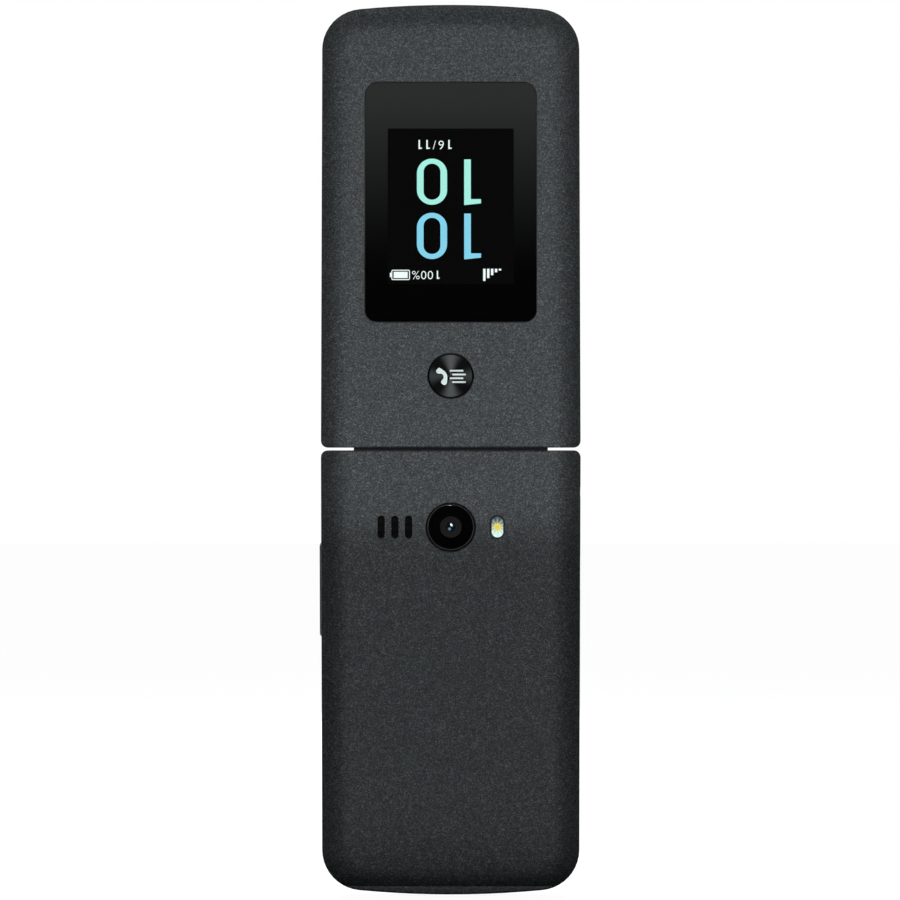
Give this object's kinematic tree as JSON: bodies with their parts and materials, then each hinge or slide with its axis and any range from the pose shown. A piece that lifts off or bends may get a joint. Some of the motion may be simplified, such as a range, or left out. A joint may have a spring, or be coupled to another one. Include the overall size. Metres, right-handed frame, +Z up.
{
  "type": "flip phone",
  "caption": "Folding mobile phone open at its stop: lid with outer and inner displays and a round key, base with camera, flash, keypad, removable back and side key.",
  "frame": {"origin": "middle of the bounding box's underside, where the far end of the base stands", "axes": "+Z up along the open phone, lid at the top; +X to the right seen from outside; the outer faces look towards -Y"},
  "size_m": [0.0578, 0.0269, 0.1987],
  "materials": {
    "casing_paint": "fine metallic grain, soft satin",
    "inner_plastic": "fine moulded texture",
    "chassis_plastic": "plain moulded",
    "display_glass": "polished, printed black behind",
    "display_panel": "smooth dark panel",
    "sheet_metal": "rolled sheet",
    "alloy_plate": "stamped light alloy sheet",
    "hinge_steel": "turned",
    "circuit_board": "green solder mask",
    "speaker_mesh": "black woven mesh",
    "rubber": "matt rubber",
    "spun_black_metal": "spun, black anodised",
    "dome_sheet": "film",
    "battery_wrap": "aluminium can in a smooth printed wrap",
    "gold_contacts": "gold plated",
    "lens_glass": "coated lens cover",
    "flash_phosphor": "yellow phosphor",
    "flash_lens": "moulded diffuser",
    "end_cap_plastic": "moulded",
    "flex_film": "amber film",
    "key_plastic": "painted satin"
  },
  "bodies": {
    "root": {"base_front_housing": "inner_plastic", "base_rear_housing": "chassis_plastic", "main_circuit_board": "circuit_board", "shield_cans": "sheet_metal", "keypad_dome_sheet": "dome_sheet", "battery": "battery_wrap", "battery_contacts": "gold_contacts", "sim_card_holder": "sheet_metal", "camera_module": "chassis_plastic", "camera_ring": "spun_black_metal", "camera_window": "lens_glass", "flash_led": "flash_phosphor", "flash_lens": "flash_lens", "loudspeaker": "chassis_plastic", "loudspeaker_mesh": "speaker_mesh", "volume_switches": "sheet_metal", "headphone_jack": "chassis_plastic", "charging_port": "sheet_metal", "vibration_motor": "sheet_metal", "base_screws": "hinge_steel", "hinge_shafts": "hinge_steel", "hinge_end_caps": "end_cap_plastic", "hinge_flex": "flex_film"},
    "lid": {"lid_outer_cover": "casing_paint", "lid_front_frame": "inner_plastic", "outer_display_window": "display_glass", "outer_display_panel": "display_panel", "main_display_window": "display_glass", "main_display_panel": "display_panel", "display_chassis": "alloy_plate", "lid_circuit_board": "circuit_board", "earpiece_receiver": "sheet_metal", "earpiece_mesh": "speaker_mesh", "lid_magnet": "hinge_steel", "lid_bumpers": "rubber", "lid_screws": "hinge_steel", "hinge_cartridge": "hinge_steel"},
    "battery_cover": {"battery_cover": "casing_paint"},
    "call_list_key": {"call_list_key": "spun_black_metal"},
    "volume_key": {"volume_key": "casing_paint"},
    "navigation_pad": {"navigation_pad": "dome_sheet"},
    "navigation_ring": {"navigation_ring": "key_plastic"},
    "ok_key": {"ok_key": "key_plastic"},
    "left_soft_key": {"left_soft_key": "key_plastic"},
    "right_soft_key": {"right_soft_key": "key_plastic"},
    "call_key": {"call_key": "key_plastic"},
    "clear_key": {"clear_key": "key_plastic"},
    "end_key": {"end_key": "key_plastic"},
    "key_1": {"key_1": "key_plastic"},
    "key_2": {"key_2": "key_plastic"},
    "key_3": {"key_3": "key_plastic"},
    "key_4": {"key_4": "key_plastic"},
    "key_5": {"key_5": "key_plastic"},
    "key_6": {"key_6": "key_plastic"},
    "key_7": {"key_7": "key_plastic"},
    "key_8": {"key_8": "key_plastic"},
    "key_9": {"key_9": "key_plastic"},
    "key_star": {"key_star": "key_plastic"},
    "key_0": {"key_0": "key_plastic"},
    "key_hash": {"key_hash": "key_plastic"}
  },
  "joints": [
    {"name": "lid_hinge", "type": "hinge", "parent": "root", "child": "lid", "pos_m": [0, -0.00359, 0.09945], "axis": [-1, 0, 0], "range_deg": [0, 160]},
    {"name": "battery_cover_lift", "type": "slide", "parent": "root", "child": "battery_cover", "axis": [0, -0.9848, -0.1736], "range_m": [0, 0.012]},
    {"name": "call_list_key_press", "type": "slide", "parent": "lid", "child": "call_list_key", "axis": [0, 0.9848, -0.1736], "range_m": [0, 0.00035], "stiffness_N_per_m": 300},
    {"name": "volume_key_rock", "type": "hinge", "parent": "root", "child": "volume_key", "pos_m": [-0.02695, -0.00155, 0.06832], "axis": [0, -0.9848, -0.1736], "range_deg": [-1, 1], "stiffness_Nm_per_rad": 0.2},
    {"name": "navigation_pad_tilt", "type": "hinge", "parent": "root", "child": "navigation_pad", "pos_m": [0, -0.00092, 0.0725], "axis": [1, 0, 0], "range_deg": [-1.2, 1.2], "stiffness_Nm_per_rad": 0.15},
    {"name": "navigation_ring_tilt", "type": "hinge", "parent": "navigation_pad", "child": "navigation_ring", "pos_m": [0, -0.00092, 0.0725], "axis": [0, 0.1736, -0.9848], "range_deg": [-1, 1], "stiffness_Nm_per_rad": 0.15},
    {"name": "ok_key_press", "type": "slide", "parent": "root", "child": "ok_key", "axis": [0, -0.9848, -0.1736], "range_m": [0, 0.00025], "stiffness_N_per_m": 300},
    {"name": "left_soft_key_press", "type": "slide", "parent": "root", "child": "left_soft_key", "axis": [0, -0.9848, -0.1736], "range_m": [0, 0.00025], "stiffness_N_per_m": 300},
    {"name": "right_soft_key_press", "type": "slide", "parent": "root", "child": "right_soft_key", "axis": [0, -0.9848, -0.1736], "range_m": [0, 0.00025], "stiffness_N_per_m": 300},
    {"name": "call_key_press", "type": "slide", "parent": "root", "child": "call_key", "axis": [0, -0.9848, -0.1736], "range_m": [0, 0.00025], "stiffness_N_per_m": 300},
    {"name": "clear_key_press", "type": "slide", "parent": "root", "child": "clear_key", "axis": [0, -0.9848, -0.1736], "range_m": [0, 0.00025], "stiffness_N_per_m": 300},
    {"name": "end_key_press", "type": "slide", "parent": "root", "child": "end_key", "axis": [0, -0.9848, -0.1736], "range_m": [0, 0.00025], "stiffness_N_per_m": 300},
    {"name": "key_1_press", "type": "slide", "parent": "root", "child": "key_1", "axis": [0, -0.9848, -0.1736], "range_m": [0, 0.00025], "stiffness_N_per_m": 300},
    {"name": "key_2_press", "type": "slide", "parent": "root", "child": "key_2", "axis": [0, -0.9848, -0.1736], "range_m": [0, 0.00025], "stiffness_N_per_m": 300},
    {"name": "key_3_press", "type": "slide", "parent": "root", "child": "key_3", "axis": [0, -0.9848, -0.1736], "range_m": [0, 0.00025], "stiffness_N_per_m": 300},
    {"name": "key_4_press", "type": "slide", "parent": "root", "child": "key_4", "axis": [0, -0.9848, -0.1736], "range_m": [0, 0.00025], "stiffness_N_per_m": 300},
    {"name": "key_5_press", "type": "slide", "parent": "root", "child": "key_5", "axis": [0, -0.9848, -0.1736], "range_m": [0, 0.00025], "stiffness_N_per_m": 300},
    {"name": "key_6_press", "type": "slide", "parent": "root", "child": "key_6", "axis": [0, -0.9848, -0.1736], "range_m": [0, 0.00025], "stiffness_N_per_m": 300},
    {"name": "key_7_press", "type": "slide", "parent": "root", "child": "key_7", "axis": [0, -0.9848, -0.1736], "range_m": [0, 0.00025], "stiffness_N_per_m": 300},
    {"name": "key_8_press", "type": "slide", "parent": "root", "child": "key_8", "axis": [0, -0.9848, -0.1736], "range_m": [0, 0.00025], "stiffness_N_per_m": 300},
    {"name": "key_9_press", "type": "slide", "parent": "root", "child": "key_9", "axis": [0, -0.9848, -0.1736], "range_m": [0, 0.00025], "stiffness_N_per_m": 300},
    {"name": "key_star_press", "type": "slide", "parent": "root", "child": "key_star", "axis": [0, -0.9848, -0.1736], "range_m": [0, 0.00025], "stiffness_N_per_m": 300},
    {"name": "key_0_press", "type": "slide", "parent": "root", "child": "key_0", "axis": [0, -0.9848, -0.1736], "range_m": [0, 0.00025], "stiffness_N_per_m": 300},
    {"name": "key_hash_press", "type": "slide", "parent": "root", "child": "key_hash", "axis": [0, -0.9848, -0.1736], "range_m": [0, 0.00025], "stiffness_N_per_m": 300}
  ]
}
